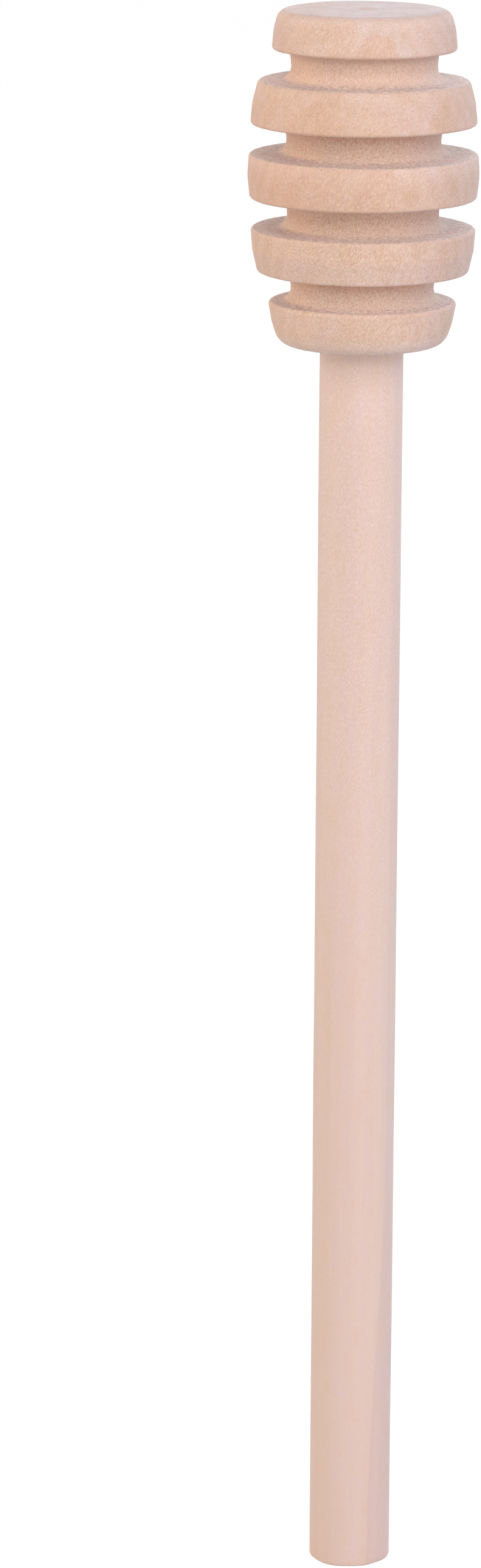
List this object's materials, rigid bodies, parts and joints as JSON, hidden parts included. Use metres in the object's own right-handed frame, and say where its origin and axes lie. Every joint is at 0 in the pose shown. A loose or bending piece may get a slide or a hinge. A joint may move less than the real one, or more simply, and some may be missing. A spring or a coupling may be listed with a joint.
{
  "type": "honey dipper",
  "caption": "Wooden honey dipper: a turned, barrel-shaped head with deep ring grooves, glued on the end of a plain round dowel handle.",
  "frame": {"origin": "centre of the handle's foot, the end away from the head", "axes": "+Z along the handle towards the head; the part is round about Z, so +X and +Y are free"},
  "size_m": [0.022, 0.022, 0.155],
  "materials": {
    "head_wood": "bare turned hardwood, fine short grain flecks, rough end grain in the grooves",
    "handle_wood": "bare dowel, sanded smooth, fine long grain flecks",
    "glue": "set wood glue"
  },
  "bodies": {
    "root": {"handle": "handle_wood", "head": "head_wood", "glue": "glue"}
  },
  "joints": []
}
